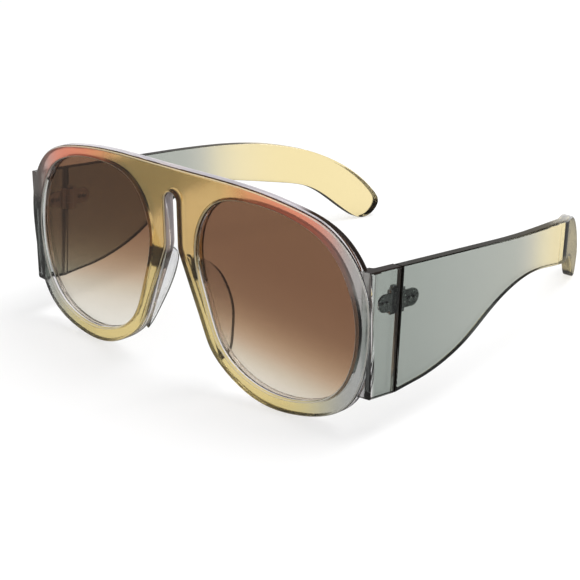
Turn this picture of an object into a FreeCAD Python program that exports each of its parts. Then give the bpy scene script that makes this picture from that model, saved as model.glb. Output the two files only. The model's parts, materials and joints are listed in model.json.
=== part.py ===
import FreeCAD, Part
import math
import os

# Oversized one-piece-front sunglasses with deep folding temples, in millimetres.
# The front is drawn upright in its own frame: X towards the wearer's left, Y back to the face, Z up,
# with the middle of the front face at Y = 0 and the middle of the lens openings near Z = 0.
# Temples and hinges are drawn in a frame of their own, whose origin lies in the joint.
# At the end everything is tipped together so that both rims and both temple tips stand on the table.

# Lens openings, as seen from the front
LENS_WIDTH = 57.0
LENS_HEIGHT = 53.4
BRIDGE_WIDTH = 20.2
LENS_CENTRE_DROP = 0.9
# Outline of the left opening in half widths and half heights from its centre, from the temple side round
OPENING_SHAPE = [
    (1.000, -0.110), (0.940, 0.310), (0.677, 0.745), (0.250, 0.945), (-0.230, 1.000), (-0.764, 0.861),
    (-1.000, 0.330), (-0.877, -0.220), (-0.670, -0.692), (-0.241, -0.962), (0.269, -0.996), (0.765, -0.771),
]

# Width of the rim round the opening, at the points of that outline
RIM_BROW = 3.6
RIM_SHOULDER = 5.0
RIM_TEMPLE_UPPER = 5.8
RIM_TEMPLE = 4.7
RIM_LOWER_TEMPLE = 5.2
RIM_BOTTOM = 4.4
RIM_LOWER_NOSE = 4.3
RIM_NOSE = 4.7

# Front
FRONT_THICKNESS = 4.3
FRONT_CURVE_RADIUS = 540.0
BROW_RISE = 4.6
BROW_FLAT = 28.0
BRIDGE_DEPTH = 7.6
SLOT_WIDTH = 5.0
SLOT_LENGTH = 16.4
FLANK_ROUND = 6.0
FRONT_EDGE_ROUND = 0.7
OPENING_EDGE_ROUND = 0.8
BACK_EDGE_ROUND = 1.4
BACK_OPENING_ROUND = 0.5

# Lenses in their groove
LENS_THICKNESS = 1.6
LENS_SETBACK = 1.7
GROOVE_DEPTH = 0.9
LENS_FIT = 0.1

# Temples: the flat root, a slow bow inwards, then a tight bend that starts the ear hook
TEMPLE_THICKNESS = 3.4
TEMPLE_LENGTH = 118.0
TEMPLE_TOP = 13.5
TEMPLE_ROOT_HEIGHT = 35.3
TEMPLE_SHAFT_HEIGHT = 12.5
TEMPLE_TILT = 4.5
TEMPLE_STRAIGHT = 41.0
BOW_RADIUS = 140.0
BOW_ANGLE = 15.0
BEND_RADIUS = 20.0
BEND_ANGLE = 15.0
TIP_DROP = 28.0
TEMPLE_EDGE_ROUND = 0.6
# Where the top edge starts to drop, and the outline from there along the top, round the blunt tip and back
# along the lower edge to the shaft, as shares of the temple's length and of the tip's drop
EAR_START = 0.508
EAR_OUTLINE = [
    (0.616, 0.010), (0.725, 0.050), (0.797, 0.116), (0.864, 0.230), (0.934, 0.423), (0.983, 0.639),
    (1.000, 0.789), (0.992, 0.893), (0.974, 0.975), (0.951, 1.000), (0.927, 0.954), (0.893, 0.843),
    (0.846, 0.680), (0.809, 0.590), (0.763, 0.541), (0.712, 0.521), (0.616, 0.475),
]
# The root's lower edge, as shares of the temple's length and of its rise to the shaft
ROOT_CURVE = [(0.493, 1.0), (0.366, 0.787), (0.239, 0.352), (0.112, 0.10)]

# Lugs at the ends of the front
LUG_PROUD = 0.2
LUG_DEPTH = 16.9
JOINT_GAP = 0.5
LUG_EDGE_ROUND = 0.6
LUG_INSIDE_ROUND = 1.2

# Barrel hinges
HINGE_HEIGHT = 3.8
BARREL_RADIUS = 1.35
BARREL_LENGTH = 6.4
MIDDLE_KNUCKLE = 2.2
KNUCKLE_GAP = 0.15
PIVOT_INSET = 0.9
LEAF_THICKNESS = 1.0
LEAF_HEIGHT = 4.8
LEAF_BLOCK = 1.2
FRONT_LEAF_LENGTH = 7.4
TEMPLE_LEAF_LENGTH = 8.4
POCKET_FIT = 0.05
SWING_CLEARANCE = 0.2

# Hinge screws and leaf rivets
SCREW_RADIUS = 0.7
SCREW_HEAD_RADIUS = 1.15
SCREW_HEAD_HEIGHT = 0.7
SCREW_SLOT_WIDTH = 0.35
SCREW_SLOT_DEPTH = 0.3
SCREW_FIT = 0.02
RUNNING_FIT = 0.05
RIVET_RADIUS = 0.5
RIVET_HEAD_RADIUS = 0.75
RIVET_HEAD_HEIGHT = 0.3
RIVET_SPACING = 1.8
RIVET_GRIP = 1.5
RIVET_FIT = 0.02

# Nose pads
PAD_LENGTH = 29.0
PAD_DEPTH = 7.5
PAD_THICKNESS = 2.0
PAD_LEAN = 18.0
PAD_INSET = 1.8
PAD_START = 2.5
PAD_EDGE_ROUND = 0.7
# The fin's free edge from its upper root to its lower root, as shares of its length and depth
PAD_SHAPE = [
    (-0.10, -0.25), (0.00, 0.20), (0.15, 0.76), (0.37, 1.00),
    (0.60, 0.95), (0.82, 0.64), (1.00, 0.25), (1.07, -0.25),
]

# How finely surfaces are sampled to find where they meet the table
TABLE_SAMPLING = 0.05

X_AXIS = FreeCAD.Vector(1, 0, 0)
Y_AXIS = FreeCAD.Vector(0, 1, 0)
Z_AXIS = FreeCAD.Vector(0, 0, 1)
ORIGIN = FreeCAD.Vector(0, 0, 0)

half_width = LENS_WIDTH / 2
half_height = LENS_HEIGHT / 2
lens_x = BRIDGE_WIDTH / 2 + half_width
lens_z = -LENS_CENTRE_DROP
brow_z = lens_z + half_height + BROW_RISE
outer_x = lens_x + half_width + RIM_TEMPLE + LUG_PROUD
inner_x = outer_x - TEMPLE_THICKNESS
pivot_x = inner_x - PIVOT_INSET
root_foot = TEMPLE_TOP - TEMPLE_ROOT_HEIGHT


def smooth(points, closed=False, start=None, end=None):
    """A smooth curve through points, with its end directions where they are given."""
    curve = Part.BSplineCurve()
    if closed:
        curve.interpolate(points, PeriodicFlag=True)
    elif start:
        curve.interpolate(points, InitialTangent=start, FinalTangent=end)
    else:
        curve.interpolate(points)
    return curve.toShape()


def line(start, end):
    return Part.LineSegment(start, end).toShape()


def arc(start, middle, end):
    return Part.Arc(start, middle, end).toShape()


def mirrored(shape):
    return shape.mirror(ORIGIN, X_AXIS)


def box(low, high):
    size = FreeCAD.Vector(*high) - FreeCAD.Vector(*low)
    return Part.makeBox(size.x, size.y, size.z, FreeCAD.Vector(*low))


def edges_on(shape, axis, place):
    """The edges of a shape that lie in the plane square to an axis at a given place."""
    def lies(vertex):
        return abs(vertex.Point.dot(axis) - place) < POCKET_FIT / 10
    return [edge for edge in shape.Edges if all(lies(vertex) for vertex in edge.Vertexes)]


def shared_edges(some, others):
    return [edge for edge in some if any(edge.isSame(other) for other in others)]


# Front

def elevation(x, z):
    return FreeCAD.Vector(x, 0, z)


def opening_points(grow=0.0):
    return [elevation(lens_x + u * (half_width + grow), lens_z + v * (half_height + grow))
            for u, v in OPENING_SHAPE]


def rim_point(index, width):
    """A point of the rim's outer edge, square to the opening at one of its outline points."""
    points = opening_points()
    along = points[(index + 1) % len(points)] - points[index - 1]
    outward = FreeCAD.Vector(along.z, 0, -along.x).normalize()
    return points[index] + outward * width


def front_layer(setback, thickness):
    """The space between two depths behind the curved front face."""
    tall = 4 * LENS_HEIGHT
    base = FreeCAD.Vector(0, FRONT_CURVE_RADIUS, -tall / 2)
    outer = Part.makeCylinder(FRONT_CURVE_RADIUS - setback, tall, base)
    inner = Part.makeCylinder(FRONT_CURVE_RADIUS - setback - thickness, tall, base)
    return outer.cut(inner)


def through_front(wire):
    reach = 2 * LUG_DEPTH
    return Part.Face(wire).translated(Y_AXIS * -reach).extrude(Y_AXIS * 2 * reach)


def opening_prism(grow=0.0):
    return through_front(Part.Wire(smooth(opening_points(grow), closed=True)))


def nose_flank():
    """The corner where the bridge slot opens, and the straight flank's direction up to it."""
    corner = elevation(SLOT_WIDTH / 2, brow_z - BRIDGE_DEPTH - SLOT_LENGTH)
    return corner, (corner - rim_point(7, RIM_NOSE)).normalize()


def front_outline():
    slot_half = SLOT_WIDTH / 2
    slot_top = brow_z - BRIDGE_DEPTH
    slot_shoulder = elevation(slot_half, slot_top - slot_half)
    brow_end = elevation(BROW_FLAT / 2, brow_z)
    rim = [
        rim_point(3, RIM_BROW), rim_point(2, RIM_SHOULDER), rim_point(1, RIM_TEMPLE_UPPER),
        rim_point(0, RIM_TEMPLE), rim_point(11, RIM_LOWER_TEMPLE), rim_point(10, RIM_BOTTOM),
        rim_point(9, RIM_BOTTOM), rim_point(8, RIM_LOWER_NOSE), rim_point(7, RIM_NOSE),
    ]
    corner, flank = nose_flank()
    half_turn = Z_AXIS.getAngle(flank) / 2
    flank_end = corner - flank * FLANK_ROUND * math.tan(half_turn)
    slot_foot = corner + Z_AXIS * FLANK_ROUND * math.tan(half_turn)
    round_centre = slot_foot + X_AXIS * FLANK_ROUND
    round_middle = round_centre - (round_centre - corner).normalize() * FLANK_ROUND
    side = smooth([brow_end] + rim, start=X_AXIS, end=flank)
    nose = line(rim[-1], flank_end)
    turn = arc(flank_end, round_middle, slot_foot)
    slot_wall = line(slot_foot, slot_shoulder)
    slot_arch = arc(slot_shoulder, elevation(0, slot_top), elevation(-slot_half, slot_shoulder.z))
    brow = line(elevation(-BROW_FLAT / 2, brow_z), brow_end)
    half = [side, nose, turn, slot_wall]
    return Part.Wire(Part.__sortEdges__([brow, slot_arch] + half + [mirrored(edge) for edge in half]))


def curved_face(solid, depth):
    """The largest face of the front plate at a given depth behind the front face."""
    radius = FRONT_CURVE_RADIUS - depth
    found = [face for face in solid.Faces
             if isinstance(face.Surface, Part.Cylinder) and abs(face.Surface.Radius - radius) < LENS_FIT]
    return max(found, key=lambda face: face.Area)


def round_face(plate, depth, outline_round, opening_round):
    """Rounds the outer edge and the openings of the front plate's face at a given depth."""
    plate = plate.makeFillet(outline_round, curved_face(plate, depth).OuterWire.Edges)
    face = curved_face(plate, depth)
    openings = [edge for wire in face.Wires if not wire.isSame(face.OuterWire) for edge in wire.Edges]
    return plate.makeFillet(opening_round, openings)


def front_plate():
    plate = through_front(front_outline()).common(front_layer(0, FRONT_THICKNESS)).Solids[0]
    opening = opening_prism()
    plate = plate.cut(opening).cut(mirrored(opening)).Solids[0]
    plate = round_face(plate, 0, FRONT_EDGE_ROUND, OPENING_EDGE_ROUND)
    return round_face(plate, FRONT_THICKNESS, BACK_EDGE_ROUND, BACK_OPENING_ROUND)


def lens_groove():
    width = LENS_THICKNESS + 2 * LENS_FIT
    return opening_prism(GROOVE_DEPTH).common(front_layer(LENS_SETBACK - LENS_FIT, width))


def lens():
    blank = opening_prism(GROOVE_DEPTH - LENS_FIT)
    return blank.common(front_layer(LENS_SETBACK, LENS_THICKNESS)).Solids[0]


def lug():
    """The left lug: the end piece that runs back from the rim to the joint, level with the temple."""
    block = box((inner_x, -LUG_DEPTH, root_foot), (outer_x, -JOINT_GAP / 2, TEMPLE_TOP))
    block = block.makeFillet(LUG_EDGE_ROUND, edges_on(block, X_AXIS, outer_x))
    front_back = FRONT_THICKNESS + inner_x ** 2 / (2 * FRONT_CURVE_RADIUS) - LUG_DEPTH
    round_at = FreeCAD.Vector(inner_x - LUG_INSIDE_ROUND, front_back + LUG_INSIDE_ROUND, root_foot)
    inside = box((round_at.x, -LUG_DEPTH, root_foot), (inner_x, round_at.y, TEMPLE_TOP))
    inside = inside.cut(Part.makeCylinder(LUG_INSIDE_ROUND, TEMPLE_ROOT_HEIGHT, round_at))
    block = to_front_frame(block.fuse(inside).removeSplitter())
    return block.common(front_layer(FRONT_EDGE_ROUND, 2 * LUG_DEPTH)).Solids[0]


def front_frame():
    end_piece = lug()
    frame = front_plate().fuse([end_piece, mirrored(end_piece)]).removeSplitter()
    groove = lens_groove()
    pocket = to_front_frame(hinge_pocket(FRONT_LEAF_LENGTH, -1))
    return frame.cut([groove, mirrored(groove), pocket, mirrored(pocket)]).Solids[0]


# Nose pads

def nose_pad():
    """A bonded fin behind the left nose flank, leaning out to follow the side of the nose."""
    points = [FreeCAD.Vector(0, PAD_DEPTH * v, -PAD_LENGTH * u) for u, v in PAD_SHAPE]
    wire = Part.Wire([smooth(points), line(points[-1], points[0])])
    fin = Part.Face(wire).translated(X_AXIS * (-PAD_THICKNESS / 2)).extrude(X_AXIS * PAD_THICKNESS)
    curved = [edge for edge in fin.Edges if isinstance(edge.Curve, Part.BSplineCurve)]
    fin = fin.makeFillet(PAD_EDGE_ROUND, curved)
    corner, flank = nose_flank()
    fin.rotate(ORIGIN, Z_AXIS, -PAD_LEAN)
    fin.rotate(ORIGIN, Y_AXIS, -math.degrees(Z_AXIS.getAngle(flank)))
    fin.translate(corner - flank * PAD_START + X_AXIS * PAD_INSET + Y_AXIS * FRONT_THICKNESS)
    return fin.cut(front_layer(-LUG_DEPTH, LUG_DEPTH + FRONT_THICKNESS)).Solids[0]


# Temples, in the frame of the left one: X outwards, Y along the temple from the joint, Z along the hinge

def to_front_frame(shape):
    placed = shape.copy()
    placed.rotate(ORIGIN, X_AXIS, -TEMPLE_TILT)
    placed.translate(Y_AXIS * LUG_DEPTH)
    return placed


def temple_plan():
    """The temple seen from above: a strip that runs straight, bows and then bends inwards."""
    bow_end = math.radians(BOW_ANGLE)
    bend_end = math.radians(BOW_ANGLE + BEND_ANGLE)
    bend_middle = (bow_end + bend_end) / 2
    tip_reach = TEMPLE_LENGTH - TEMPLE_STRAIGHT

    def polar(radius, angle):
        return FreeCAD.Vector(math.cos(angle), math.sin(angle), 0) * radius

    bow_centre = FreeCAD.Vector(inner_x - BOW_RADIUS, TEMPLE_STRAIGHT, 0)
    bend_centre = bow_centre + polar(BOW_RADIUS - BEND_RADIUS, bow_end)
    tip_run = polar(tip_reach, bend_end + math.pi / 2)

    def side(out):
        start = FreeCAD.Vector(inner_x + out, JOINT_GAP / 2, 0)
        bow = [bow_centre + polar(BOW_RADIUS + out, angle) for angle in (0, bow_end / 2, bow_end)]
        bend = [bend_centre + polar(BEND_RADIUS + out, angle) for angle in (bow_end, bend_middle, bend_end)]
        tip = bend[-1] + tip_run
        return start, tip, [line(start, bow[0]), arc(*bow), arc(*bend), line(bend[-1], tip)]

    inner_start, inner_tip, inner = side(0)
    outer_start, outer_tip, outer = side(TEMPLE_THICKNESS)
    edges = inner + [line(inner_tip, outer_tip)] + outer + [line(outer_start, inner_start)]
    strip = Part.Face(Part.Wire(Part.__sortEdges__(edges)))
    return strip.translated(Z_AXIS * -TEMPLE_LENGTH).extrude(Z_AXIS * 2 * TEMPLE_LENGTH)


def temple_side():
    """The temple seen from the side: a deep root that sweeps up to a slim shaft, then a dropped tip."""
    def at(y, z):
        return FreeCAD.Vector(0, y, z)

    start = JOINT_GAP / 2
    root_rise = TEMPLE_ROOT_HEIGHT - TEMPLE_SHAFT_HEIGHT
    points = [at(EAR_START * TEMPLE_LENGTH, TEMPLE_TOP)]
    points += [at(share * TEMPLE_LENGTH, TEMPLE_TOP - drop * TIP_DROP) for share, drop in EAR_OUTLINE]
    points += [at(share * TEMPLE_LENGTH, root_foot + rise * root_rise) for share, rise in ROOT_CURVE]
    points += [at(start, root_foot)]
    hook = smooth(points, start=Y_AXIS, end=(points[-1] - points[-2]).normalize())
    edges = [line(at(start, TEMPLE_TOP), points[0]), hook, line(points[-1], at(start, TEMPLE_TOP))]
    return Part.Face(Part.Wire(edges)).translated(X_AXIS * -outer_x).extrude(X_AXIS * 3 * outer_x)


def temple():
    """The left temple with its long edges rounded right round, and its outer edge at the joint."""
    blank = temple_plan().common(temple_side()).Solids[0]
    outer_edges = edges_on(blank, X_AXIS, outer_x)
    side_edges = outer_edges + edges_on(blank, X_AXIS, inner_x)
    along_top = shared_edges(edges_on(blank, Z_AXIS, TEMPLE_TOP), side_edges)
    at_joint = shared_edges(edges_on(blank, Y_AXIS, JOINT_GAP / 2), outer_edges)
    return blank.makeFillet(TEMPLE_EDGE_ROUND, along_top + at_joint)


# Hinges, in the same frame; direction is -1 for the leaf on the front and 1 for the leaf on the temple

block_near = BARREL_RADIUS + KNUCKLE_GAP
block_far = block_near + LEAF_BLOCK
leaf_floor = inner_x + LEAF_THICKNESS
barrel_half = BARREL_LENGTH / 2
middle_half = MIDDLE_KNUCKLE / 2


def along(direction, near, far):
    return sorted((direction * near, direction * far))


def slab(direction, near, far, low, high, x_low, x_high):
    y_low, y_high = along(direction, near, far)
    return box((x_low, y_low, HINGE_HEIGHT + low), (x_high, y_high, HINGE_HEIGHT + high))


def on_pivot(radius, low, high):
    return Part.makeCylinder(radius, high - low, FreeCAD.Vector(pivot_x, 0, HINGE_HEIGHT + low))


def leaf_plate(length, direction, grow=0.0):
    half = LEAF_HEIGHT / 2
    round_at = FreeCAD.Vector(inner_x, direction * (length - half), HINGE_HEIGHT)
    reach = half + grow
    plate = slab(direction, block_near, length - half, -reach, reach, inner_x, leaf_floor + grow)
    return plate.fuse(Part.makeCylinder(reach, LEAF_THICKNESS + grow, round_at, X_AXIS))


def rivet_places(length, direction):
    middle = (block_far + length) / 2
    distances = (middle - RIVET_SPACING / 2, middle + RIVET_SPACING / 2)
    return [FreeCAD.Vector(inner_x, direction * distance, HINGE_HEIGHT) for distance in distances]


def rivet_holes(length, direction, depth):
    return [Part.makeCylinder(RIVET_RADIUS + RIVET_FIT, depth, place, X_AXIS)
            for place in rivet_places(length, direction)]


def hinge_pocket(length, direction):
    """What the leaf, the barrel and the rivets take out of the lug or the temple."""
    reach = barrel_half + SWING_CLEARANCE
    pocket = leaf_plate(length, direction, POCKET_FIT)
    block = slab(direction, 0, block_far + POCKET_FIT, -reach, reach, pivot_x, leaf_floor + POCKET_FIT)
    relief = on_pivot(BARREL_RADIUS + SWING_CLEARANCE, -reach, reach + SCREW_HEAD_HEIGHT)
    holes = rivet_holes(length, direction, LEAF_THICKNESS + RIVET_GRIP + RIVET_FIT)
    return pocket.fuse([block, relief] + holes)


def hinge_leaf(length, direction, knuckles, bore):
    """A leaf plate, its block and its knuckles on the given stretches of the barrel."""
    solid = leaf_plate(length, direction)
    block = slab(direction, block_near, block_far, -barrel_half, barrel_half, pivot_x, leaf_floor)
    solid = solid.fuse(block)
    for low, high in knuckles:
        solid = solid.fuse([slab(direction, 0, block_near, low, high, pivot_x, leaf_floor),
                            on_pivot(BARREL_RADIUS, low, high)])
    holes = rivet_holes(length, direction, LEAF_THICKNESS) + [on_pivot(bore, -barrel_half, barrel_half)]
    return solid.removeSplitter().cut(holes).Solids[0]


def front_leaf():
    inner_end = middle_half + KNUCKLE_GAP
    knuckles = [(-barrel_half, -inner_end), (inner_end, barrel_half)]
    return hinge_leaf(FRONT_LEAF_LENGTH, -1, knuckles, SCREW_RADIUS + SCREW_FIT)


def temple_leaf():
    return hinge_leaf(TEMPLE_LEAF_LENGTH, 1, [(-middle_half, middle_half)], SCREW_RADIUS + RUNNING_FIT)


def hinge_screw():
    top = barrel_half + SCREW_HEAD_HEIGHT
    head = on_pivot(SCREW_HEAD_RADIUS, barrel_half, top)
    head = head.makeFillet(SCREW_HEAD_HEIGHT / 3, edges_on(head, Z_AXIS, HINGE_HEIGHT + top))
    slot_floor = HINGE_HEIGHT + top - SCREW_SLOT_DEPTH
    slot = box((pivot_x - SCREW_HEAD_RADIUS, -SCREW_SLOT_WIDTH / 2, slot_floor),
               (pivot_x + SCREW_HEAD_RADIUS, SCREW_SLOT_WIDTH / 2, HINGE_HEIGHT + top))
    shank = on_pivot(SCREW_RADIUS, -barrel_half, barrel_half)
    return shank.fuse(head).cut(slot).removeSplitter().Solids[0]


def rivets(length, direction):
    """The pins that hold a leaf in its pocket, their round heads on the inner face."""
    pins = []
    for place in rivet_places(length, direction):
        crown = place - X_AXIS * RIVET_HEAD_HEIGHT
        head = Part.makeCylinder(RIVET_HEAD_RADIUS, RIVET_HEAD_HEIGHT, crown, X_AXIS)
        head = head.makeFillet(RIVET_HEAD_HEIGHT / 2, edges_on(head, X_AXIS, crown.x))
        shank = Part.makeCylinder(RIVET_RADIUS, LEAF_THICKNESS + RIVET_GRIP, place, X_AXIS)
        pins.append(head.fuse(shank).removeSplitter().Solids[0])
    return Part.makeCompound(pins)


def lowest(points, tilt):
    """The height of the lowest of some points once the glasses are tipped back by an angle."""
    angle = math.radians(tilt)
    return min(point.z * math.cos(angle) - point.y * math.sin(angle) for point in points)


def table_tilt(front, arm):
    """The angle at which the rims and the temple tips touch the table together."""
    front_points = front.tessellate(TABLE_SAMPLING)[0]
    arm_points = arm.tessellate(TABLE_SAMPLING)[0]
    low, high = 0.0, 2 * TEMPLE_TILT
    while high - low > TABLE_SAMPLING / TEMPLE_LENGTH:
        middle = (low + high) / 2
        if lowest(arm_points, middle) > lowest(front_points, middle):
            low = middle
        else:
            high = middle
    return (low + high) / 2


def build():
    front = front_frame()
    arm = to_front_frame(temple().cut(hinge_pocket(TEMPLE_LEAF_LENGTH, 1)).Solids[0])
    left = {
        "lens": lens(),
        "nose_pad": nose_pad(),
        "front_hinge_leaf": to_front_frame(front_leaf()),
        "front_leaf_rivets": to_front_frame(rivets(FRONT_LEAF_LENGTH, -1)),
        "hinge_screw": to_front_frame(hinge_screw()),
        "temple": arm,
        "temple_hinge_leaf": to_front_frame(temple_leaf()),
        "temple_leaf_rivets": to_front_frame(rivets(TEMPLE_LEAF_LENGTH, 1)),
    }
    nodes = {"front_frame": front}
    for name, shape in left.items():
        nodes[name + "_left"] = shape
        nodes[name + "_right"] = mirrored(shape)
    tilt = table_tilt(front, arm)
    for shape in nodes.values():
        shape.rotate(ORIGIN, X_AXIS, -tilt)
    whole = Part.makeCompound(list(nodes.values())).optimalBoundingBox(False, False)
    shift = FreeCAD.Vector(0, -(whole.YMin + whole.YMax) / 2, -whole.ZMin)
    for shape in nodes.values():
        shape.translate(shift)
    return nodes, tilt, shift


nodes, tilt, shift = build()
os.makedirs("parts", exist_ok=True)
for name, shape in nodes.items():
    shape.exportStep("parts/" + name + ".step")
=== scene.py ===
import json
import math
from types import SimpleNamespace
import bpy
from mathutils import Matrix, Vector

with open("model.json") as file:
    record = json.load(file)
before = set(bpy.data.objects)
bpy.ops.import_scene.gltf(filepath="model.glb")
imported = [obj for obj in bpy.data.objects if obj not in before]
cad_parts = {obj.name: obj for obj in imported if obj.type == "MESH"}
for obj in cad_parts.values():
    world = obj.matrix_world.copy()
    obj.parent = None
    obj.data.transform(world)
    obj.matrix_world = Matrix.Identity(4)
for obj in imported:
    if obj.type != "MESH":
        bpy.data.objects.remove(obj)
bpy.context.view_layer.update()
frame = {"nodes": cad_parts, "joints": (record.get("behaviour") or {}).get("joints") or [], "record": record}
bpy.ops.object.select_all(action="DESELECT")

MM = 0.001


# How the glasses stand

TEMPLE_TILT = math.radians(4.5)
HINGE_IN_FRONT = Vector((67.7, 17.1981, 3.7883)) * MM
LEFT_HINGE = frame["joints"][0]
# The front is tipped back from upright, as the left hinge's axis shows
TIP_BACK = math.atan2(LEFT_HINGE["axis"][1], LEFT_HINGE["axis"][2]) - TEMPLE_TILT
TIP_TURN = Matrix.Rotation(-TIP_BACK, 3, "X")
# The front's own frame starts in the middle of its face, at lens height
FRONT_ORIGIN = Vector(LEFT_HINGE["pos_m"]) - TIP_TURN @ HINGE_IN_FRONT


# Camera, with its angles in radians and its lens and sensor in millimetres

VIEW_AZIMUTH = 0.79025
VIEW_ELEVATION = 0.34716
VIEW_ROLL = 0.01268
VIEW_DISTANCE = 482.7 * MM
VIEW_ASIDE = -33.70 * MM
VIEW_UP = 6.285 * MM
VIEW_LENS = 104.78
VIEW_SENSOR = 36
VIEW_NEAREST = 10 * MM


def set_camera():
    """Sets the camera by angles and a distance in the front's own frame."""
    back = Vector((math.sin(VIEW_AZIMUTH) * math.cos(VIEW_ELEVATION),
                   -math.cos(VIEW_AZIMUTH) * math.cos(VIEW_ELEVATION),
                   math.sin(VIEW_ELEVATION)))
    right = Vector((math.cos(VIEW_AZIMUTH), math.sin(VIEW_AZIMUTH), 0))
    up = back.cross(right)
    place = back * VIEW_DISTANCE - right * VIEW_ASIDE - up * VIEW_UP
    rolled_right = right * math.cos(VIEW_ROLL) - up * math.sin(VIEW_ROLL)
    rolled_up = right * math.sin(VIEW_ROLL) + up * math.cos(VIEW_ROLL)
    turn = Matrix((rolled_right, rolled_up, back)).transposed()
    lens = bpy.data.cameras.new("camera")
    lens.lens = VIEW_LENS
    lens.sensor_width = VIEW_SENSOR
    lens.clip_start = VIEW_NEAREST
    camera = bpy.data.objects.new("camera", lens)
    bpy.context.scene.collection.objects.link(camera)
    spot = TIP_TURN @ place + FRONT_ORIGIN
    camera.matrix_world = Matrix.Translation(spot) @ (TIP_TURN @ turn).to_4x4()
    bpy.context.scene.camera = camera


# Node helpers

FLOAT = "NodeSocketFloat"
VECTOR = "NodeSocketVector"


def add(tree, kind, inputs=None, **settings):
    """A node with its settings, whose inputs are linked from sockets or set to plain values."""
    made = tree.nodes.new("ShaderNode" + kind)
    for name, value in settings.items():
        setattr(made, name, value)
    for key, value in (inputs or {}).items():
        if isinstance(value, bpy.types.NodeSocket):
            tree.links.new(value, made.inputs[key])
        else:
            made.inputs[key].default_value = value
    return made


def calc(tree, operation, *values):
    """One sum on values of the surface."""
    return add(tree, "Math", dict(enumerate(values)), operation=operation).outputs[0]


def square(tree, value):
    """A value times itself."""
    return calc(tree, "MULTIPLY", value, value)


def both(tree, *masks):
    """Where all the masks hold at once."""
    held = masks[0]
    for mask in masks[1:]:
        held = calc(tree, "MULTIPLY", held, mask)
    return held


def either(tree, *masks):
    """Where at least one of the masks holds."""
    held = masks[0]
    for mask in masks[1:]:
        held = calc(tree, "MAXIMUM", held, mask)
    return held


def ramp(tree, value, low, high, start=0.0, end=1.0):
    """A soft step from start to end as a value goes from low to high."""
    limits = {"Value": value, "From Min": low, "From Max": high, "To Min": start, "To Max": end}
    return add(tree, "MapRange", limits, interpolation_type="SMOOTHSTEP").outputs["Result"]


def band(tree, value, start, full, fade, end):
    """A soft band of a value: nothing before start, all from full to fade, nothing after end."""
    return both(tree, ramp(tree, value, start, full), ramp(tree, value, end, fade))


# The Mix node takes values at its sockets 2 and 3, and shades at 6 and 7
def between(tree, share, first, second):
    """A value that goes from the first to the second as the share goes from nought to one."""
    return add(tree, "Mix", {0: share, 2: first, 3: second}).outputs[0]


def blend(tree, share, first, second):
    """A shade that goes from the first to the second as the share goes from nought to one."""
    return add(tree, "Mix", {0: share, 6: first, 7: second}, data_type="RGBA").outputs[2]


def noise(tree, point, scale, detail):
    """A soft random pattern over the surface, from nought to one."""
    return add(tree, "TexNoise", {"Vector": point, "Scale": scale, "Detail": detail}).outputs[0]


def colour(red, green, blue):
    """A colour written as it shows on a screen, from 0 to 255, made linear by the usual screen curve."""
    def linear(value):
        value /= 255
        return value / 12.92 if value <= 0.04045 else ((value + 0.055) / 1.055) ** 2.4
    return (linear(red), linear(green), linear(blue), 1.0)


def shades(tree, value, stops):
    """A run of colours along a value, given as (value, colour) stops in rising order."""
    low = stops[0][0]
    high = stops[-1][0]
    share = add(tree, "MapRange", {"Value": value, "From Min": low, "From Max": high})
    made = add(tree, "ValToRGB", {0: share.outputs["Result"]})
    made.color_ramp.interpolation = "B_SPLINE"
    points = made.color_ramp.elements
    while len(points) < len(stops):
        points.new(0.5)
    for point, (place, shade) in zip(points, stops):
        point.position = (place - low) / (high - low)
        point.color = shade
    return made.outputs[0]


def new_material(name):
    """A new node material, its tree and its main shader."""
    made = bpy.data.materials.new(name)
    made.use_nodes = True
    return made, made.node_tree, made.node_tree.nodes["Principled BSDF"]


def new_group(name, inputs, outputs):
    """A new node group with its sockets, and the nodes where values come in and go out."""
    tree = bpy.data.node_groups.new(name, "ShaderNodeTree")
    for socket, kind in inputs:
        tree.interface.new_socket(socket, in_out="INPUT", socket_type=kind)
    for socket, kind in outputs:
        tree.interface.new_socket(socket, in_out="OUTPUT", socket_type=kind)
    return tree, tree.nodes.new("NodeGroupInput"), tree.nodes.new("NodeGroupOutput")


def place_group(tree, group, inputs):
    """Sets a shared group into a tree and gives what it puts out."""
    return add(tree, "Group", inputs, node_tree=group).outputs


# Effects that the finishes share

HAZE_SCALE = 0.12
HAZE_DETAIL = 3.0
HAZE_RANGE = (0.4, 0.7)


def make_polish():
    """Faint handling marks on a polished surface: a roughness that varies from least to most."""
    tree, given, put = new_group("polish", [("Point", VECTOR), ("Least", FLOAT), ("Most", FLOAT)],
                                 [("Roughness", FLOAT)])
    haze = ramp(tree, noise(tree, given.outputs["Point"], HAZE_SCALE, HAZE_DETAIL), *HAZE_RANGE)
    limits = {"Value": haze, "To Min": given.outputs["Least"], "To Max": given.outputs["Most"]}
    tree.links.new(add(tree, "MapRange", limits).outputs[0], put.inputs["Roughness"])
    return tree


def make_front_point():
    """Turns a point of the object into millimetres in the upright front's own frame."""
    tree, given, put = new_group("front point", [("Point", VECTOR)],
                                 [("Point", VECTOR), ("Aside", FLOAT), ("Back", FLOAT), ("Up", FLOAT)])
    upright = {"Vector": given.outputs["Point"], "Location": FRONT_ORIGIN,
               "Rotation": (-TIP_BACK, 0, 0), "Scale": (MM, MM, MM)}
    moved = add(tree, "Mapping", upright, vector_type="TEXTURE")
    axes = add(tree, "SeparateXYZ", {0: moved.outputs[0]})
    tree.links.new(moved.outputs[0], put.inputs["Point"])
    tree.links.new(calc(tree, "ABSOLUTE", axes.outputs["X"]), put.inputs["Aside"])
    tree.links.new(axes.outputs["Y"], put.inputs["Back"])
    tree.links.new(axes.outputs["Z"], put.inputs["Up"])
    return tree


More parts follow.
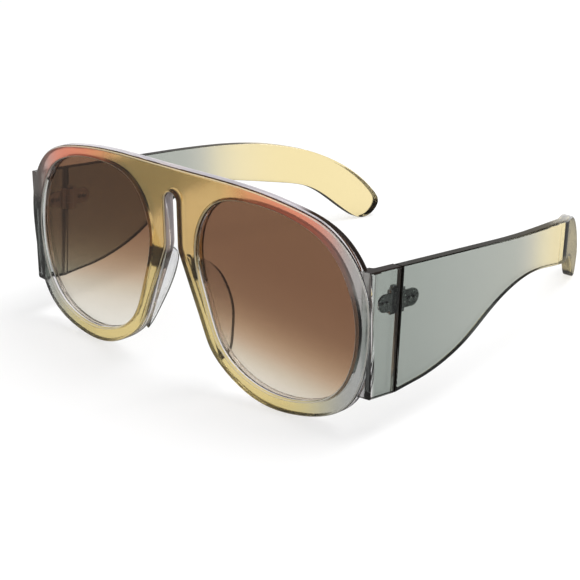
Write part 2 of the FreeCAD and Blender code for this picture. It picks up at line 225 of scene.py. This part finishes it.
def make_facing():
    """Which way a face looks: how far sideways, how far backwards and how far up. From inside the plastic the
    normal comes turned round, so it is turned back."""
    tree, given, put = new_group("facing", [("Normal", VECTOR), ("Inside", FLOAT)],
                                 [("Sideways", FLOAT), ("Backwards", FLOAT), ("Upwards", FLOAT)])
    axes = add(tree, "SeparateXYZ", {0: given.outputs["Normal"]})
    limits = {"Value": given.outputs["Inside"], "To Min": 1.0, "To Max": -1.0}
    turned = add(tree, "MapRange", limits).outputs[0]
    tree.links.new(calc(tree, "ABSOLUTE", axes.outputs["X"]), put.inputs["Sideways"])
    tree.links.new(calc(tree, "MULTIPLY", axes.outputs["Y"], turned), put.inputs["Backwards"])
    tree.links.new(calc(tree, "MULTIPLY", axes.outputs["Z"], turned), put.inputs["Upwards"])
    return tree


POLISH = make_polish()
FRONT_POINT = make_front_point()
FACING = make_facing()


def read_place(tree):
    """Where a point of the surface lies in the front's own frame, in millimetres."""
    place = place_group(tree, FRONT_POINT, {"Point": add(tree, "TexCoord").outputs["Object"]})
    return SimpleNamespace(point=place["Point"], aside=place["Aside"], back=place["Back"], up=place["Up"])


def read_surface(tree):
    """The place of a point, which way its face looks and whether it is seen from inside the plastic."""
    here = read_place(tree)
    here.inside = add(tree, "NewGeometry").outputs["Backfacing"]
    normal = add(tree, "TexCoord").outputs["Normal"]
    turn = place_group(tree, FACING, {"Normal": normal, "Inside": here.inside})
    here.sideways = turn["Sideways"]
    here.backwards = turn["Backwards"]
    here.upwards = turn["Upwards"]
    return here


# Clear plastic

PLASTIC_IOR = 1.49
PLASTIC_ROUGHNESS = (0.015, 0.06)
SHADOW_STRENGTH = 0.3
CLOSED_ROUGHNESS = 0.3
CLOSED_GLOSS = 0.05
SMOKE = colour(150, 157, 151)
SOOT = colour(22, 23, 25)


def clear_plastic(tree, shader, here, tint, roughness=PLASTIC_ROUGHNESS):
    """Makes the main shader a tinted clear plastic that casts a light shadow, and gives its roughness."""
    shader.inputs["Transmission Weight"].default_value = 1.0
    shader.inputs["IOR"].default_value = PLASTIC_IOR
    least, most = roughness
    rough = place_group(tree, POLISH, {"Point": here.point, "Least": least, "Most": most})["Roughness"]
    tree.links.new(rough, shader.inputs["Roughness"])
    tree.links.new(tint, shader.inputs["Base Color"])
    shadow = add(tree, "LightPath").outputs["Is Shadow Ray"]
    tree.links.new(ramp(tree, shadow, 0, 1, 1.0, SHADOW_STRENGTH), shader.inputs["Alpha"])
    return rough


def close_faces(tree, shader, layers):
    """Lets less light through some faces of a clear plastic. Each layer has a mask, how closed the face is
    there and its shade, and lies over the ones before it."""
    share = 0.0
    shade = SOOT
    for mask, closed, own_shade in layers:
        share = between(tree, mask, share, closed)
        shade = blend(tree, mask, shade, own_shade)
    cover = add(tree, "BsdfPrincipled", {"Base Color": shade, "Roughness": CLOSED_ROUGHNESS,
                                         "IOR": PLASTIC_IOR, "Specular IOR Level": CLOSED_GLOSS})
    mixed = add(tree, "MixShader", {0: share, 1: shader.outputs[0], 2: cover.outputs[0]})
    tree.links.new(mixed.outputs[0], tree.nodes["Material Output"].inputs["Surface"])


# Temple joints, which the lugs and the temples share, in millimetres

JOINT_BACK = 17.2
JOINT_LEAN = math.tan(TEMPLE_TILT)
# At the top and at the bottom
JOINT_HEIGHT = (14, -26)
JOINT_INNER_END = (68.2, 70.6)
JOINT_SOFT = (-0.2, 0.2)


def joint_shade(tree, here):
    """Where a joint's faces are dark: over their whole thickness at the top, only outside at the bottom."""
    inner_end = ramp(tree, here.up, *JOINT_HEIGHT, *JOINT_INNER_END)
    return ramp(tree, calc(tree, "SUBTRACT", here.aside, inner_end), *JOINT_SOFT)


# Shades of the front, and the runs of them from the middle aside, in millimetres

GOLD = colour(161, 124, 50)
PALE_GOLD = colour(214, 180, 84)
CLEAR_LAYER = colour(240, 236, 238)
WARM_LAYER = colour(232, 214, 166)
# Painted reflection of the bright room on the top and the slot walls, and painted light on the nose walls
TOP_PAINTED_REFLECTION = colour(208, 203, 210)
NOSE_PAINTED_LIGHT = colour(246, 247, 247)
SLOT_PAINTED_REFLECTION = colour(232, 222, 226)
# Painted shade: a dark inner reflection on the slot walls seen from inside
SLOT_PAINTED_INNER_SHADE = colour(84, 56, 34)
RIM_RUN = [
    (34, PALE_GOLD),
    (42, colour(200, 168, 76)),
    (50, colour(186, 166, 84)),
    (57, colour(146, 144, 112)),
    (64, colour(116, 120, 116)),
    (72, colour(112, 116, 113)),
]
BROW_RUN = [
    (20, GOLD),
    (30, colour(226, 130, 56)),
    (40, colour(252, 104, 62)),
    (54, colour(252, 102, 66)),
    (60, colour(196, 128, 108)),
    (64, colour(152, 146, 140)),
    (68, colour(140, 141, 138)),
]
VEIL_RUN = [
    (22, colour(226, 168, 96)),
    (32, colour(255, 150, 112)),
    (54, colour(255, 150, 124)),
    (62, colour(222, 180, 168)),
    (68, colour(180, 178, 174)),
]
# Painted highlight along the rounded front edges
EDGE_HIGHLIGHT_RUN = [(40, colour(252, 234, 190)), (58, colour(214, 214, 212))]
# Dark joint faces, and painted shade along the edges, lines and corners and at the pad bonds
DARK_JOINT_AND_PAINTED_SHADE_RUN = [(40, colour(70, 48, 30)), (60, SOOT)]


# Places on the front, in millimetres aside from its middle, up from lens height and deep behind its face

FRONT_CURVE = 540.0
LENS_MIDDLE = 37.5
OPENING_HALF_WIDTH = 33
OPENING_HALF_HEIGHT = 31
OPENING_DROP = 5.0
# A pair is where a change starts and where it is done, and four values are a soft band
TEMPLE_SIDE = (66.6, 67.4)
PALER_DOWN = (12, -22)
RIM_FROM = (34, 40)
BROW_FROM = (-4, 10)
SHEET_AT_OPENING = 0.62
SHEET_OUTSIDE = 0.3
SHEET_MORE_ON_FLANKS = 0.2
LINE_SOFT = 0.2
LAYER_FROM = (0.65, 0.9)
WARM_TOWARDS_NOSE = (32, 22)
WARM_ABOVE = (-2, 5)
LUG_OUTER = (68, 69.5)
LUG_OUTER_DEEP = (0.9, 1.4)
LUG_INNER = (66.5, 68)
LUG_INNER_DEEP = (3.0, 4.6)
LUG_END_BACK = (JOINT_BACK - 3, JOINT_BACK - 2)
DEEP_FROM = (0.9, 1.1)
TOP_WITHIN = (60, 52)
NOSE_WITHIN = (22, 18)
NOSE_BELOW = (4, 1)
SLOT_WITHIN = (5, 4)
SLOT_ABOVE = (2, 5)
SLOT_DEEP = (0.3, 0.5)
LINE_DEEP = (0.35, 0.5, 0.75, 0.95)
RIM_LINE_DEEP = (0.5, 0.7, 0.85, 1.1)
CORNER_DEEP = (1.5, 2.0, 4.4, 5.0)
CORNER_FROM = (44, 52)
BOND_ASIDE = (5.5, 6.2, 12.4, 13.2)
BOND_UP = (-2.4, -1.6, 4.2, 5.0)
VEIL_ABOVE = (0, 10)
VEIL_FROM = (22, 32)


# How far the front's faces look backwards, up or sideways, as parts of one

WALL_TURN = (0.8, 0.5)
FLANK_TURN = (0.85, 0.97)
TOP_TURN = (0.3, 0.5)
ROUND_EDGE_TURN = (-0.94, -0.84, -0.6, -0.45)
CORNER_TURN = (0.1, 0.3)
LUG_END_TURN = (0.05, 0.25)
LUG_EDGE_TURN = (0.5, 0.8)
BOND_TURN = (0.8, 0.9)
VEIL_TURN = (-0.85, -0.95)


# Shares on the front, as parts of one: the edge of an opening's oval, and how closed each wall is

OPENING_EDGE = (0.97, 1.0)
LINE_ON_FLANKS = 0.4
VEIL_CLOSED = 0.4
TOP_CLOSED = 0.6
NOSE_CLOSED = 0.2
SLOT_CLOSED = 0.5
SLOT_INSIDE_CLOSED = 0.9
ROUND_EDGE_CLOSED = 0.7
LUG_END_CLOSED = 0.8
BOND_CLOSED = 0.93
LINE_CLOSED = 1.0


# Gloss of the front

FACE_DEPTH = (0.4, 0.1)
FROST_SCALE = 0.2
FROST_DETAIL = 2.0
FROST_RANGE = (0.3, 0.7)
FROST_ROUGHNESS = (0.17, 0.23)
COAT_WEIGHT = 0.6
COAT_ROUGHNESS = 0.03


def outside_openings(tree, here):
    """One on the outer side of the rims and on the lugs, and nought at the lens openings."""
    across = calc(tree, "DIVIDE", calc(tree, "SUBTRACT", here.aside, LENS_MIDDLE), OPENING_HALF_WIDTH)
    along = calc(tree, "DIVIDE", calc(tree, "ADD", here.up, OPENING_DROP), OPENING_HALF_HEIGHT)
    from_lens = calc(tree, "SQRT", calc(tree, "ADD", square(tree, across), square(tree, along)))
    return either(tree, ramp(tree, from_lens, *OPENING_EDGE), ramp(tree, here.aside, *TEMPLE_SIDE))


def lugs(tree, here):
    """Where the front is a lug that runs back to a hinge."""
    outer = both(tree, ramp(tree, here.aside, *LUG_OUTER), ramp(tree, here.depth, *LUG_OUTER_DEEP))
    inner = both(tree, ramp(tree, here.aside, *LUG_INNER), ramp(tree, here.depth, *LUG_INNER_DEEP))
    return either(tree, outer, inner)


def front_sheet(tree, here):
    """Gold, going over orange to coral at the upper corners and to smoke at the temple side."""
    middle = blend(tree, ramp(tree, here.up, *PALER_DOWN), GOLD, PALE_GOLD)
    lower = blend(tree, ramp(tree, here.aside, *RIM_FROM), middle, shades(tree, here.aside, RIM_RUN))
    upper = shades(tree, here.aside, BROW_RUN)
    return blend(tree, ramp(tree, here.up, *BROW_FROM), lower, upper)


def front_tint(tree, here):
    """The sheet, a painted dark line of shade where it ends on the walls, the clear layer behind it and the
    smoke lugs.
    """
    thickness = ramp(tree, here.outside, 0, 1, SHEET_AT_OPENING, SHEET_OUTSIDE)
    thickness = calc(tree, "MULTIPLY_ADD", here.flank, SHEET_MORE_ON_FLANKS, thickness)
    # Painted shade: a dark line behind the sheet, where its tint ends on the walls
    line = ramp(tree, calc(tree, "SUBTRACT", here.depth, thickness), 0, LINE_SOFT)
    tint = blend(tree, line, front_sheet(tree, here), SOOT)
    warm = both(tree, ramp(tree, here.outside, 1, 0), ramp(tree, here.aside, *WARM_TOWARDS_NOSE),
                ramp(tree, here.up, *WARM_ABOVE))
    layer = blend(tree, warm, CLEAR_LAYER, WARM_LAYER)
    tint = blend(tree, ramp(tree, here.depth, *LAYER_FROM), tint, layer)
    return blend(tree, here.lug, tint, SMOKE)


def front_walls(tree, here):
    """Faces of the front that let less light through, each lying over the ones before it."""
    from_outside = ramp(tree, here.inside, 1, 0)
    walls = ramp(tree, calc(tree, "ABSOLUTE", here.backwards), *WALL_TURN)
    deep = both(tree, walls, ramp(tree, here.depth, *DEEP_FROM))
    outer = both(tree, walls, here.outside)
    # Light faces: the coral part of the sheet, a painted reflection of the bright room on the top and the
    # slot, painted light on the nose walls and a painted highlight on the round edges
    veil = both(tree, from_outside, ramp(tree, here.backwards, *VEIL_TURN), ramp(tree, here.up, *VEIL_ABOVE),
                ramp(tree, here.aside, *VEIL_FROM))
    top = both(tree, deep, here.outside, ramp(tree, here.upwards, *TOP_TURN),
               ramp(tree, here.aside, *TOP_WITHIN))
    nose = both(tree, deep, ramp(tree, here.aside, *NOSE_WITHIN), ramp(tree, here.up, *NOSE_BELOW))
    slot = both(tree, walls, ramp(tree, here.aside, *SLOT_WITHIN), ramp(tree, here.up, *SLOT_ABOVE),
                ramp(tree, here.depth, *SLOT_DEEP))
    painted_edge_highlight = both(tree, band(tree, here.backwards, *ROUND_EDGE_TURN), from_outside)
    # Dark faces: the lugs' dark joint ends, and painted shade on the lugs' edges, on the line between the
    # layers, on the rim walls seen from inside and in the corners by the lugs; at the pads' bonds the glued
    # roots are dark, with painted shade over them
    joint = calc(tree, "SUBTRACT", here.back, calc(tree, "MULTIPLY", here.up, JOINT_LEAN))
    lug_end = both(tree, here.lug, ramp(tree, here.backwards, *LUG_END_TURN),
                   ramp(tree, joint, *LUG_END_BACK), joint_shade(tree, here))
    painted_lug_edge_shade = both(tree, here.lug, ramp(tree, calc(tree, "ABSOLUTE", here.upwards), *LUG_EDGE_TURN))
    bond_and_painted_shade = both(tree, here.inside, ramp(tree, here.backwards, *BOND_TURN),
                band(tree, here.aside, *BOND_ASIDE), band(tree, here.up, *BOND_UP))
    line = both(tree, outer, band(tree, here.depth, *LINE_DEEP),
                ramp(tree, here.flank, 0, 1, 1.0, LINE_ON_FLANKS))
    painted_rim_shade = both(tree, walls, here.inside, band(tree, here.depth, *RIM_LINE_DEEP))
    painted_corner_shade = both(tree, outer, band(tree, here.depth, *CORNER_DEEP), ramp(tree, here.aside, *CORNER_FROM),
                  ramp(tree, here.upwards, *CORNER_TURN))
    dark_joint_and_painted_shade = shades(tree, here.aside, DARK_JOINT_AND_PAINTED_SHADE_RUN)
    return [
        (veil, VEIL_CLOSED, shades(tree, here.aside, VEIL_RUN)),
        (top, TOP_CLOSED, TOP_PAINTED_REFLECTION),
        (nose, NOSE_CLOSED, NOSE_PAINTED_LIGHT),
        (slot, SLOT_CLOSED, SLOT_PAINTED_REFLECTION),
        # Painted shade: the slot walls seen from inside, dark as an inner reflection
        (both(tree, slot, here.inside), SLOT_INSIDE_CLOSED, SLOT_PAINTED_INNER_SHADE),
        (painted_edge_highlight, ROUND_EDGE_CLOSED, shades(tree, here.aside, EDGE_HIGHLIGHT_RUN)),
        (lug_end, LUG_END_CLOSED, dark_joint_and_painted_shade),
        (bond_and_painted_shade, BOND_CLOSED, dark_joint_and_painted_shade),
        (either(tree, line, painted_rim_shade, painted_corner_shade, painted_lug_edge_shade), LINE_CLOSED, dark_joint_and_painted_shade),
    ]


def make_front_plastic():
    """A gold sheet on a clear layer, with a frosted face under a thin coat."""
    made, tree, shader = new_material("front_plastic")
    here = read_surface(tree)
    bow = calc(tree, "DIVIDE", square(tree, here.aside), 2 * FRONT_CURVE)
    here.depth = calc(tree, "SUBTRACT", here.back, bow)
    here.outside = outside_openings(tree, here)
    here.flank = ramp(tree, here.sideways, *FLANK_TURN)
    here.lug = lugs(tree, here)
    polished = clear_plastic(tree, shader, here, front_tint(tree, here))
    frost = noise(tree, here.point, FROST_SCALE, FROST_DETAIL)
    frosted = ramp(tree, frost, *FROST_RANGE, *FROST_ROUGHNESS)
    rough = between(tree, ramp(tree, here.depth, *FACE_DEPTH), polished, frosted)
    tree.links.new(rough, shader.inputs["Roughness"])
    shader.inputs["Coat Weight"].default_value = COAT_WEIGHT
    shader.inputs["Coat Roughness"].default_value = COAT_ROUGHNESS
    close_faces(tree, shader, front_walls(tree, here))
    return made


# Temples, with the runs of their shades from the front backwards, in millimetres

EAR_BEND = 93.9
EAR_CHANGE = (EAR_BEND - 8, EAR_BEND + 4)
EAR_END = (108, 112)
TEMPLE_RUN = [
    (20, SMOKE),
    (46, colour(166, 171, 165)),
    (66, colour(172, 176, 168)),
    (74, colour(188, 188, 178)),
    (81, colour(218, 210, 180)),
    (90, colour(236, 222, 180)),
    (104, colour(238, 221, 168)),
    (130, colour(240, 223, 172)),
]
# Painted shade along the temples' edges, also used for the dark joint faces at the root
TEMPLE_PAINTED_SHADE_AND_JOINT_RUN = [(60, SOOT), (96, colour(74, 64, 40)), (120, colour(52, 44, 28))]
TEMPLE_EDGE_SIDEWAYS = (0.6, 0.35)
TEMPLE_TOP_UP = (0.2, 0.5)
TEMPLE_REST_SIDEWAYS = (0.4, 0.2)
TEMPLE_REST_UP = (0.5, 0.2)
TEMPLE_ROOT_BACKWARDS = (-0.5, -0.8)
TEMPLE_END_SIDEWAYS = (0.6, 0.4)
TEMPLE_END_BACKWARDS = (0.6, 0.8)
# How closed the edges are before and past the ear's bend
TEMPLE_REST_CLOSED = (0.4, 0.2)
TEMPLE_TOP_CLOSED = (1.0, 0.1)
TEMPLE_END_CLOSED = 0.6


def make_temple_plastic():
    """Smoke that goes over to straw at the ear, with painted shade on the edges that grows lighter past the
    ear's bend, and dark joint faces at the root.
    """
    made, tree, shader = new_material("temple_plastic")
    here = read_surface(tree)
    clear_plastic(tree, shader, here, shades(tree, here.back, TEMPLE_RUN))
    # Painted shade on the top, bottom and end edges; the root's joint faces are dark
    edge = shades(tree, here.back, TEMPLE_PAINTED_SHADE_AND_JOINT_RUN)
    narrow = ramp(tree, here.sideways, *TEMPLE_EDGE_SIDEWAYS)
    top = both(tree, narrow, ramp(tree, here.upwards, *TEMPLE_TOP_UP))
    root = both(tree, narrow, ramp(tree, here.backwards, *TEMPLE_ROOT_BACKWARDS), joint_shade(tree, here))
    rest = both(tree, ramp(tree, here.sideways, *TEMPLE_REST_SIDEWAYS),
                ramp(tree, here.upwards, *TEMPLE_REST_UP))
    end = both(tree, ramp(tree, here.sideways, *TEMPLE_END_SIDEWAYS),
               ramp(tree, here.backwards, *TEMPLE_END_BACKWARDS), ramp(tree, here.back, *EAR_END))
    close_faces(tree, shader, [
        (rest, ramp(tree, here.back, *EAR_CHANGE, *TEMPLE_REST_CLOSED), edge),
        (either(tree, top, root), ramp(tree, here.back, *EAR_CHANGE, *TEMPLE_TOP_CLOSED), edge),
        (end, TEMPLE_END_CLOSED, edge),
    ])
    return made


# Lenses, with the run of their tint from the bottom up, in millimetres

LENS_TILT = 0.15
LENS_HALF_APART = 3.8
LENS_LEVEL = -2.4
LENS_ROUGHNESS = (0.0, 0.03)
LENS_RUN = [
    (-32, colour(236, 233, 224)),
    (-25, colour(224, 216, 202)),
    (-20, colour(206, 193, 173)),
    (-15, colour(184, 156, 128)),
    (-9, colour(150, 118, 91)),
    (-2, colour(126, 93, 70)),
    (12, colour(117, 84, 62)),
]


def make_lens_tint():
    """Brown that fades downwards. It reaches lower at the temple side than at the nose, and lower on the left
    lens than on the right one."""
    made, tree, shader = new_material("lens_tint")
    here = read_place(tree)
    tilt = calc(tree, "MULTIPLY_ADD", here.aside, LENS_TILT, -LENS_TILT * LENS_MIDDLE)
    side = calc(tree, "SIGN", add(tree, "SeparateXYZ", {0: here.point}).outputs["X"])
    level = calc(tree, "MULTIPLY_ADD", side, LENS_HALF_APART, LENS_LEVEL)
    height = calc(tree, "ADD", here.up, calc(tree, "ADD", tilt, level))
    clear_plastic(tree, shader, here, shades(tree, height, LENS_RUN), LENS_ROUGHNESS)
    return made


# Nose pads

PAD_HEIGHT = (-20, 4)
PAD_LOW = colour(252, 252, 251)
PAD_HIGH = colour(238, 238, 240)
# Painted shade on the pads' edges seen through them
PAD_PAINTED_EDGE_SHADE = colour(64, 48, 30)
PAD_EDGE_TURN = (0.84, 0.64)
PAD_EDGE_CLOSED = 0.9
PAD_ROUGHNESS = (0.1, 0.16)


def make_pad_plastic():
    """Slightly frosted clear plastic with painted shade on its edges where they are seen through it."""
    made, tree, shader = new_material("pad_plastic")
    here = read_surface(tree)
    tint = blend(tree, ramp(tree, here.up, *PAD_HEIGHT), PAD_LOW, PAD_HIGH)
    clear_plastic(tree, shader, here, tint, PAD_ROUGHNESS)
    edge = both(tree, ramp(tree, here.sideways, *PAD_EDGE_TURN), here.inside)
    close_faces(tree, shader, [(edge, PAD_EDGE_CLOSED, PAD_PAINTED_EDGE_SHADE)])
    return made


# Metals

GRAIN_RANGE = (0.3, 0.7)
PIN_GRAIN_SCALE = 4.0
PIN_GRAIN_DETAIL = 6.0
PIN_GRAIN_HEIGHT = 0.02 * MM
PIN_GRAIN_STRENGTH = 0.4
RIVET_DARK = colour(150, 150, 150)
RIVET_LIGHT = colour(205, 205, 205)
RIVET_ROUGHNESS = (0.2, 0.3)
SCREW_DARK = colour(120, 120, 122)
SCREW_LIGHT = colour(180, 180, 182)
SCREW_ROUGHNESS = (0.2, 0.35)
HINGE_GRAIN_SCALE = 1.6
HINGE_GRAIN_DETAIL = 5.0
HINGE_GRAIN_HEIGHT = 0.03 * MM
HINGE_GRAIN_STRENGTH = 0.5
HINGE_ROUGHNESS = (0.3, 0.46)
HINGE_METALLIC = (0.4, 0.6)
HINGE_SILVER = (colour(176, 174, 170), colour(232, 231, 228))
HINGE_DULL = (colour(84, 86, 88), colour(160, 162, 164))
HINGE_DULL_RANGE = (0.35, 0.65)
# Painted glints on the dull side of the hinges
HINGE_PAINTED_GLINT = colour(236, 238, 238)
HINGE_GLINT_SCALE = 0.8
HINGE_GLINT_SIZE = (0.26, 0.16)
HINGE_MELTED_FROM = (69.0, 69.3)


def grain_finish(tree, shader, grain, roughness, height, strength):
    """A grain that varies the gloss and lies in the surface."""
    tree.links.new(ramp(tree, grain, *GRAIN_RANGE, *roughness), shader.inputs["Roughness"])
    bump = add(tree, "Bump", {"Height": grain, "Distance": height, "Strength": strength})
    tree.links.new(bump.outputs[0], shader.inputs["Normal"])


def make_pin_metal(name, dark, light, roughness):
    """Turned metal of the screws and rivets."""
    made, tree, shader = new_material(name)
    grain = noise(tree, read_place(tree).point, PIN_GRAIN_SCALE, PIN_GRAIN_DETAIL)
    tree.links.new(blend(tree, grain, dark, light), shader.inputs["Base Color"])
    shader.inputs["Metallic"].default_value = 1.0
    grain_finish(tree, shader, grain, roughness, PIN_GRAIN_HEIGHT, PIN_GRAIN_STRENGTH)
    return made


def make_hinge_metal():
    """Pressed nickel silver: bright on the inner side, dull with small painted glints inside the plastic."""
    made, tree, shader = new_material("hinge_metal")
    here = read_place(tree)
    grain = noise(tree, here.point, HINGE_GRAIN_SCALE, HINGE_GRAIN_DETAIL)
    silver = blend(tree, grain, *HINGE_SILVER)
    dull = blend(tree, ramp(tree, grain, *HINGE_DULL_RANGE), *HINGE_DULL)
    # Small painted glints scattered over the dull side
    cells = add(tree, "TexVoronoi", {"Vector": here.point, "Scale": HINGE_GLINT_SCALE})
    dull = blend(tree, ramp(tree, cells.outputs["Distance"], *HINGE_GLINT_SIZE), dull, HINGE_PAINTED_GLINT)
    melted = ramp(tree, here.aside, *HINGE_MELTED_FROM)
    tree.links.new(blend(tree, melted, silver, dull), shader.inputs["Base Color"])
    tree.links.new(ramp(tree, melted, 0, 1, *HINGE_METALLIC), shader.inputs["Metallic"])
    grain_finish(tree, shader, grain, HINGE_ROUGHNESS, HINGE_GRAIN_HEIGHT, HINGE_GRAIN_STRENGTH)
    return made


FINISHES = {
    "front_plastic": make_front_plastic(),
    "temple_plastic": make_temple_plastic(),
    "lens_tint": make_lens_tint(),
    "pad_plastic": make_pad_plastic(),
    "hinge_metal": make_hinge_metal(),
    "rivet_metal": make_pin_metal("rivet_metal", RIVET_DARK, RIVET_LIGHT, RIVET_ROUGHNESS),
    "screw_metal": make_pin_metal("screw_metal", SCREW_DARK, SCREW_LIGHT, SCREW_ROUGHNESS),
}


def dress():
    """Gives every piece the finish that the record names for it."""
    for part in frame["record"]["subparts"]:
        node = frame["nodes"][part["node"]]
        node.data.materials[0] = FINISHES[part["material_slot"]]


# Studio, with its places in metres

WHITE = (1, 1, 1, 1)
FLOOR_SIZE = 6
FLOOR_DROP = 0.2 * MM
FLOOR_MATT = (0.9, 0.9, 0.9, 1)
FLOOR_GLOW = 0.5
MIRRORED_BEHIND_Y = (0.1, 0.14)
MIRRORED_BEHIND_X = (0.17, 0.13)
MIRRORED_STRENGTH = (0.2, 1.0)
ROOM_STRENGTH = (0.75, 1.0)
ROOM_DARK = (0.02, 0.02, 0.02, 1)
ROOM_DARK_HEIGHT = (0.1, 0.3, 0.75, 0.9)
LAMP_PLACE = Vector((0.24, 0.34, 0.9))
LAMP_AIM = Vector((0, 0, 0.03))
LAMP_SIZE = 0.6
LAMP_POWER = 7.5


def seen_by_eye(tree):
    """One for rays from the camera, from a reflection or through glass, and nought for rays that light."""
    light = add(tree, "LightPath").outputs
    return either(tree, light["Is Camera Ray"], light["Is Glossy Ray"], light["Is Transmission Ray"]), light


def set_floor():
    """A white floor that keeps the shadow. Mirrored in the plastic it is dim, except behind the glasses."""
    bpy.ops.mesh.primitive_plane_add(size=FLOOR_SIZE, location=(0, 0, -FLOOR_DROP))
    floor = bpy.context.object
    floor.name = "floor"
    made = bpy.data.materials.new("white sweep")
    made.use_nodes = True
    tree = made.node_tree
    tree.nodes.clear()
    seen, light = seen_by_eye(tree)
    matt = add(tree, "BsdfDiffuse", {"Color": FLOOR_MATT})
    glow = add(tree, "Emission", {"Color": WHITE, "Strength": 1.0})
    share = calc(tree, "MULTIPLY", seen, FLOOR_GLOW)
    white = add(tree, "MixShader", {0: share, 1: matt.outputs[0], 2: glow.outputs[0]})
    spot = add(tree, "SeparateXYZ", {0: add(tree, "TexCoord").outputs["Object"]}).outputs
    behind = both(tree, ramp(tree, spot["Y"], *MIRRORED_BEHIND_Y), ramp(tree, spot["X"], *MIRRORED_BEHIND_X))
    strength = ramp(tree, behind, 0, 1, *MIRRORED_STRENGTH)
    mirrored = add(tree, "Emission", {"Color": WHITE, "Strength": strength})
    bounced = light["Is Reflection Ray"]
    mixed = add(tree, "MixShader", {0: bounced, 1: white.outputs[0], 2: mirrored.outputs[0]})
    add(tree, "OutputMaterial", {"Surface": mixed.outputs[0]})
    floor.data.materials.append(made)


def set_world():
    """A white room, whose upper walls are dark in reflections and through glass."""
    world = bpy.data.worlds.new("studio")
    world.use_nodes = True
    tree = world.node_tree
    tree.nodes.clear()
    seen, light = seen_by_eye(tree)
    way = add(tree, "SeparateXYZ", {0: add(tree, "TexCoord").outputs["Generated"]}).outputs
    wall = band(tree, way["Z"], *ROOM_DARK_HEIGHT)
    bounced = calc(tree, "SUBTRACT", seen, light["Is Camera Ray"])
    room = blend(tree, both(tree, wall, bounced), WHITE, ROOM_DARK)
    back = add(tree, "Background", {"Color": room, "Strength": ramp(tree, seen, 0, 1, *ROOM_STRENGTH)})
    add(tree, "OutputWorld", {"Surface": back.outputs[0]})
    bpy.context.scene.world = world


def set_lamp():
    """One softbox behind and above, whose own image is kept out of what is seen through the plastic."""
    lamp = bpy.data.lights.new("overhead softbox", "AREA")
    lamp.size = LAMP_SIZE
    lamp.energy = LAMP_POWER
    made = bpy.data.objects.new("overhead softbox", lamp)
    bpy.context.scene.collection.objects.link(made)
    made.location = LAMP_PLACE
    made.rotation_euler = (LAMP_AIM - LAMP_PLACE).to_track_quat("-Z", "Y").to_euler()
    made.visible_transmission = False


bpy.context.scene.view_settings.view_transform = "Standard"
set_camera()
dress()
set_floor()
set_world()
set_lamp()
